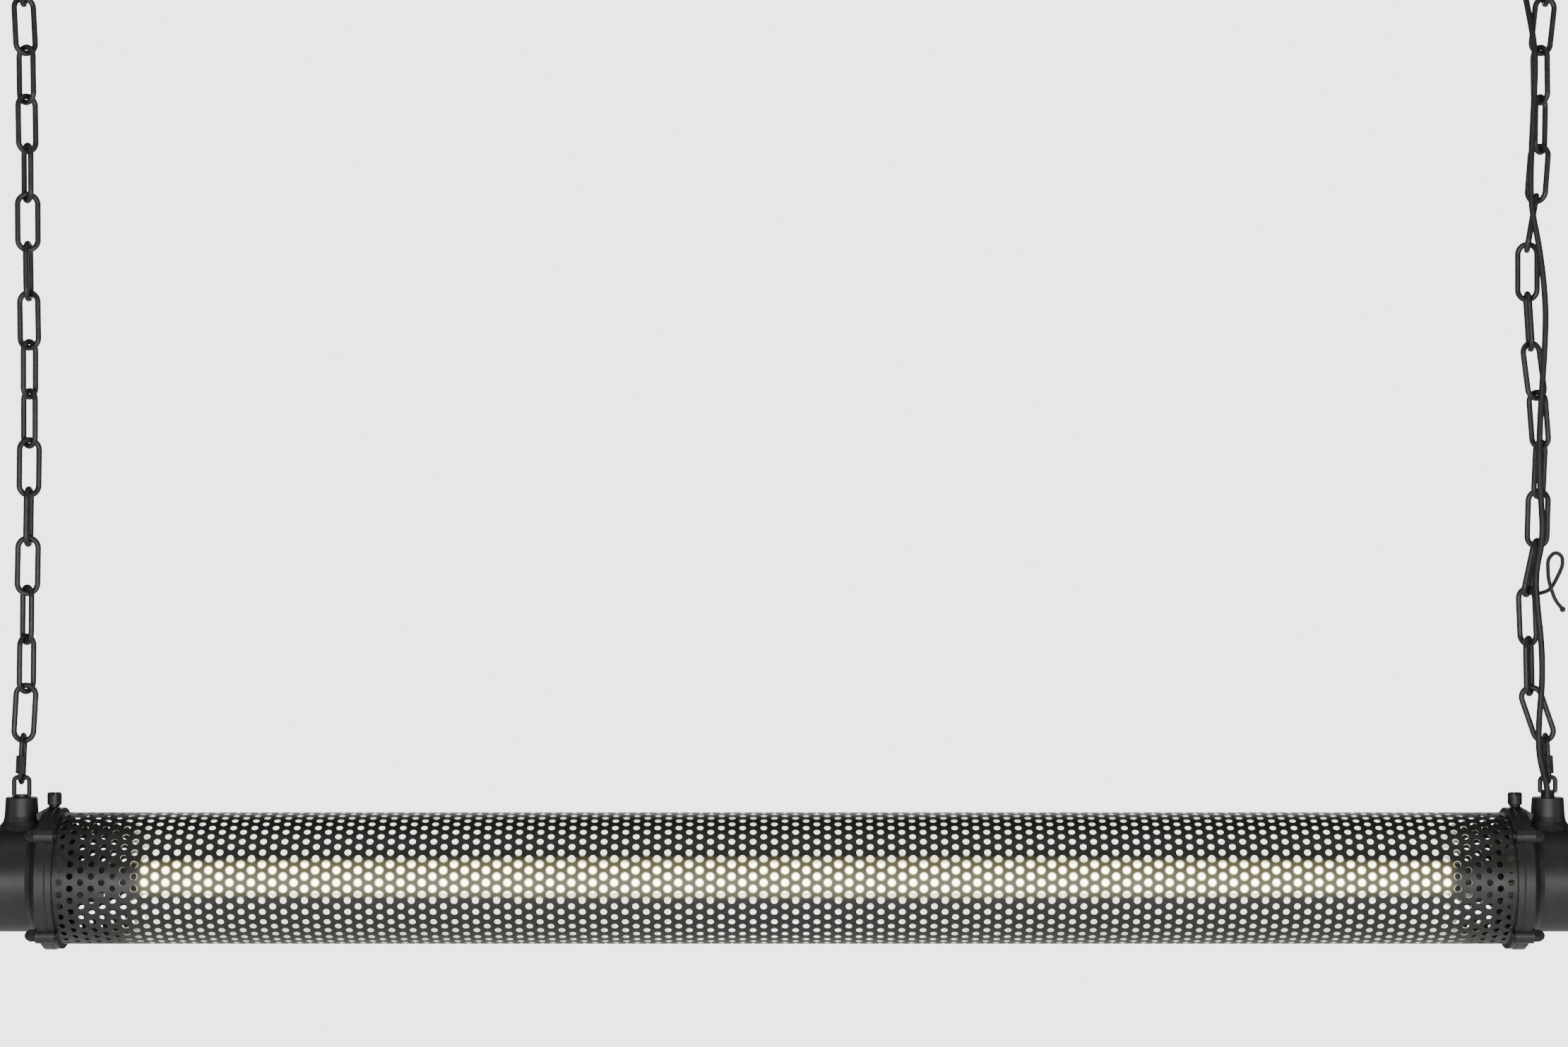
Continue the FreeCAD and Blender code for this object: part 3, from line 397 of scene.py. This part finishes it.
phosphor = Finish("phosphor", Roughness=0.5, Emission_Strength=4.0)
phosphor.set(Base_Color=phosphor.mix(phosphor.noise(500.0), (0.9, 0.7, 0.2, 1),
                                     (0.95, 0.8, 0.35, 1)),
             Emission_Color=(1.0, 0.86, 0.55, 1))
wear(phosphor, "led_chips")

green_board = Finish("driver_board_green", Roughness=0.35)
green_board.set(Base_Color=green_board.mix(green_board.noise(400.0).fade(0.4, 0.6),
                                           (0.03, 0.14, 0.06, 1), (0.05, 0.2, 0.09, 1)))
wear(green_board, "led_driver_board")

# ---------------------------------------------------------------- end caps, rings and canopies
# Cast aluminium, powder-coated satin black: a fine orange-peel skin over a slightly uneven
# casting. The ceiling canopies are spun sheet with the same coat.


def powder_coat(name, level, skin, cast):
    coat = Finish(name, Specular_IOR_Level=0.45)
    coat.set(Base_Color=coat.mix(coat.noise(45.0, 4.0).fade(0.3, 0.75), grey(level),
                                 grey(level * 1.7)),
             Roughness=0.38 + 0.14 * coat.noise(80.0))
    coat.bump(coat.noise(1100.0, 2.0) * skin + coat.noise(140.0, 3.0) * cast, 0.001, 0.6)
    return coat


cast_coat = powder_coat("powder_coat_cast", 0.010, 0.05, 0.10)
wear(cast_coat, "left_end_cap", "right_end_cap", "left_end_cover", "right_end_cover",
     "left_clamp_ring", "right_clamp_ring")
spun_coat = powder_coat("powder_coat_spun", 0.011, 0.04, 0.0)
wear(spun_coat, "left_ceiling_canopy", "right_ceiling_canopy")

gasket_rubber = Finish("gasket_rubber", Roughness=0.8)
gasket_rubber.set(Base_Color=gasket_rubber.mix(gasket_rubber.noise(300.0), grey(0.01),
                                               grey(0.025)))
wear(gasket_rubber, "flange_gaskets", "cable_tie")

# ---------------------------------------------------------------- cord grip
# A ribbed rubber grip, moulded in one piece and pushed into the right canopy. It tapers along the
# cable.
GRIP_X = BOSS_X - 0.0220
GRIP_TOP = -0.0184
GRIP_END = -0.04965
GRIP_BORE_R = 0.0029
GRIP_TURNS = [(GRIP_TOP, 0.0060), (-0.0208, 0.0060), (-0.0208, 0.0044), (-0.0220, 0.0044),
              (-0.0220, 0.0070), (-0.0250, 0.0070)]
for rib in range(5):
    rib_z = -0.0268 - 0.0043 * rib
    rib_r = 0.0058 - 0.00030 * rib
    GRIP_TURNS += [(rib_z, rib_r - 0.0008), (rib_z - 0.0013, rib_r - 0.0008),
                   (rib_z - 0.0018, rib_r), (rib_z - 0.0036, rib_r - 0.0001)]
GRIP_TURNS += [(GRIP_END, 0.0040), (GRIP_END, 0.00275)]
bpy.ops.object.select_all(action="DESELECT")
bpy.ops.mesh.primitive_circle_add(vertices=28, radius=GRIP_BORE_R, calc_uvs=False,
                                  location=(GRIP_X, 0, GRIP_TOP))
grip = bpy.context.object
grip.name = "cord_grip_rubber"
bpy.ops.object.transform_apply(location=True, rotation=True, scale=True)
bpy.ops.object.mode_set(mode="EDIT")
bpy.ops.mesh.select_all(action="SELECT")
grip_z, grip_r = GRIP_TOP, GRIP_BORE_R
for next_z, next_r in GRIP_TURNS:
    bpy.ops.mesh.extrude_region_move(TRANSFORM_OT_translate={"value": (0, 0, next_z - grip_z)})
    bpy.ops.transform.resize(value=(next_r / grip_r, next_r / grip_r, 1),
                             center_override=(GRIP_X, 0, next_z))
    grip_z, grip_r = next_z, next_r
bpy.ops.mesh.select_all(action="SELECT")
bpy.ops.mesh.remove_doubles(threshold=0.00002)
bpy.ops.mesh.normals_make_consistent(inside=False)
bpy.ops.object.mode_set(mode="OBJECT")
bpy.ops.object.shade_smooth_by_angle(angle=math.radians(40))
grip.data.materials.append(gasket_rubber.material)
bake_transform(grip)
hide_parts("cord_grip")

# ---------------------------------------------------------------- fasteners, eyes and links
# Blackened steel turned or bent from bar. Handling has rubbed the black a little brighter.
blacked = Finish("blackened_steel", Specular_IOR_Level=0.5)
rub = blacked.noise(220.0, 4.0)
blacked.set(Base_Color=blacked.mix(rub.fade(0.45, 0.8), grey(0.010), grey(0.040)),
            Metallic=0.3, Roughness=0.34 + 0.2 * blacked.noise(120.0))
blacked.bump(blacked.noise(1500.0, 2.0), 0.00004, 0.5)
wear(blacked, "flange_studs", "flange_cap_nuts", "left_thumb_screw", "right_thumb_screw",
     "left_lifting_eye", "right_lifting_eye", "end_cover_screws", "left_quick_link",
     "right_quick_link", "left_link_nut", "right_link_nut", "left_ceiling_hook",
     "right_ceiling_hook", "hook_ring_nuts")

# ---------------------------------------------------------------- chains
# Welded links of 5 mm wire with a thick black coat, smooth and a little uneven from dipping.
dipped = Finish("dipped_black", Specular_IOR_Level=0.5)
dipped.set(Base_Color=dipped.mix(dipped.noise(150.0, 4.0).fade(0.4, 0.8), grey(0.009),
                                 grey(0.024)),
           Roughness=0.33 + 0.2 * dipped.noise(90.0))
dipped.bump(dipped.noise(500.0, 3.0), 0.00012, 0.5)
wear(dipped, "left_chain_links", "right_chain_links", "left_top_link", "right_top_link")

# ---------------------------------------------------------------- lampholders and wiring
# White moulded terminal blocks, black painted brackets, zinc-plated screws and ceiling plates,
# and cores in brown and green-yellow.
moulded = Finish("white_moulding", Roughness=0.45)
moulded.set(Base_Color=moulded.mix(moulded.noise(50.0), grey(0.70, 0.02), grey(0.80, 0.02)))
moulded.bump(moulded.noise(1200.0, 2.0), 0.00003, 0.5)
wear(moulded, "terminal_block", "ceiling_terminal_block")

zinc = Finish("zinc_plate", Metallic=1.0)
zinc.set(Base_Color=zinc.mix(zinc.noise(40.0, 5.0), (0.50, 0.52, 0.55, 1), (0.66, 0.66, 0.66, 1)),
         Roughness=0.32 + 0.25 * zinc.noise(70.0))
wear(zinc, "bracket_screws", "earth_screw", "left_ceiling_plate", "right_ceiling_plate")
bracket_coat = powder_coat("powder_coat_bracket", 0.010, 0.05, 0.0)
wear(bracket_coat, "left_holder_bracket", "right_holder_bracket")

brown_core = Finish("brown_core", Roughness=0.4)
brown_core.set(Base_Color=brown_core.mix(brown_core.noise(200.0), (0.10, 0.04, 0.02, 1),
                                         (0.14, 0.06, 0.03, 1)))
wear(brown_core, "supply_cores", "lampholder_wires")

earth_core = Finish("green_yellow_core", Roughness=0.4)
earth_core.set(Base_Color=earth_core.mix(earth_core.noise(900.0, 0.0).fade(0.49, 0.51),
                                         (0.04, 0.25, 0.04, 1), (0.75, 0.65, 0.05, 1)))
wear(earth_core, "earth_wire")

# ---------------------------------------------------------------- studio
# A pale floor well below the light, white surroundings that light it only a little, and wide
# soft boxes in front, behind, above and at both sides.
FLOOR_Z = -1.75
bpy.ops.object.select_all(action="DESELECT")
bpy.ops.mesh.primitive_plane_add(size=7.0, location=(0, 0, FLOOR_Z))
floor = bpy.context.object
floor.name = "studio_floor"
paper = Finish("studio_paper", Roughness=0.9, Base_Color=grey(0.85),
               Emission_Color=grey(1.0), Emission_Strength=0.45)
floor.data.materials.append(paper.material)

world = bpy.data.worlds.new("studio")
scene.world = world
world.use_nodes = True
surroundings = world.node_tree
seen = surroundings.nodes["Background"]
seen.inputs["Color"].default_value = grey(1.0)
seen.inputs["Strength"].default_value = 3.5
dim = surroundings.nodes.new("ShaderNodeBackground")
dim.inputs["Color"].default_value = grey(1.0)
dim.inputs["Strength"].default_value = 0.09
ray = surroundings.nodes.new("ShaderNodeLightPath")
choice = surroundings.nodes.new("ShaderNodeMixShader")
surroundings.links.new(ray.outputs["Is Camera Ray"], choice.inputs[0])
surroundings.links.new(dim.outputs[0], choice.inputs[1])
surroundings.links.new(seen.outputs[0], choice.inputs[2])
surroundings.links.new(choice.outputs[0], surroundings.nodes["World Output"].inputs["Surface"])


def soft_box(name, size, place, target, power):
    bpy.ops.object.light_add(type="AREA", location=place)
    lamp = bpy.context.object
    lamp.name = name
    lamp.data.shape = "RECTANGLE"
    lamp.data.size, lamp.data.size_y = size
    lamp.data.energy = power
    aim = Vector(target) - Vector(place)
    lamp.rotation_euler = aim.to_track_quat("-Z", "Y").to_euler()


soft_box("front_box", (3.0, 0.7), (0, -2.8, -0.98), AXIS, 75)
soft_box("top_box", (3.0, 1.2), (0, -0.8, 1.2), AXIS, 12)
soft_box("left_box", (1.0, 2.0), (-3.0, -1.2, -0.3), AXIS, 9)
soft_box("right_box", (1.0, 2.0), (3.0, -1.2, -0.3), AXIS, 9)
soft_box("back_box", (3.0, 1.2), (0, 3.0, 0.2), AXIS, 20)
